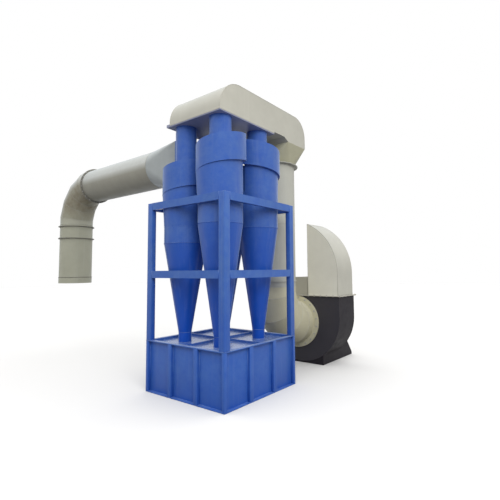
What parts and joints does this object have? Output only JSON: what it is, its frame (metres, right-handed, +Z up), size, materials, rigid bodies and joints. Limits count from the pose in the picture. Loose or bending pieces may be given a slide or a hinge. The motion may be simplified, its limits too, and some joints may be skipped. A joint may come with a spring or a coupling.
{
  "type": "cyclone dust collector",
  "caption": "Staggered cyclone dust collector on a ribbed dust box, with a rounded clean-air hood, a suction fan with a discharge hood and a raised inlet duct with a drop.",
  "frame": {"origin": "centre of the dust box's underside, on the floor", "axes": "+Z up; +Y towards the fan; -X towards the inlet duct's drop"},
  "size_m": [5.5668, 3.831, 4.19],
  "materials": {
    "blue_paint": "satin",
    "grey_paint": "matt",
    "charcoal_paint": "matt"
  },
  "bodies": {
    "root": {"box_floor": "blue_paint", "box_walls": "blue_paint", "box_corners": "blue_paint", "box_ribs": "blue_paint", "box_rim": "blue_paint", "box_lid": "blue_paint", "lid_dividers": "blue_paint", "posts": "blue_paint", "top_rails": "blue_paint", "mid_rails": "blue_paint", "cyclone_front_left": "blue_paint", "cyclone_front_right": "blue_paint", "cyclone_back_left": "blue_paint", "cyclone_back_right": "blue_paint", "scroll_front_left": "blue_paint", "scroll_front_right": "blue_paint", "scroll_back_left": "blue_paint", "scroll_back_right": "blue_paint", "clean_air_pipes": "blue_paint", "tube_sheet": "blue_paint", "hood_wrap": "grey_paint", "hood_sides": "grey_paint", "hood_floor": "grey_paint", "hood_outlet": "grey_paint", "suction_duct": "grey_paint", "suction_rings": "grey_paint", "suction_elbow": "grey_paint", "fan_inlet_ring": "grey_paint", "fan_front_plate": "charcoal_paint", "fan_back_plate": "charcoal_paint", "fan_scroll": "charcoal_paint", "fan_base": "charcoal_paint", "fan_outlet_flange": "grey_paint", "outlet_cover": "grey_paint", "discharge_back": "grey_paint", "discharge_sides": "grey_paint", "header_box": "blue_paint", "header_duct": "blue_paint", "inlet_branches": "blue_paint", "inlet_transition": "grey_paint", "inlet_duct": "grey_paint", "inlet_elbow": "grey_paint", "inlet_drop": "grey_paint", "inlet_rings": "grey_paint"}
  },
  "joints": []
}
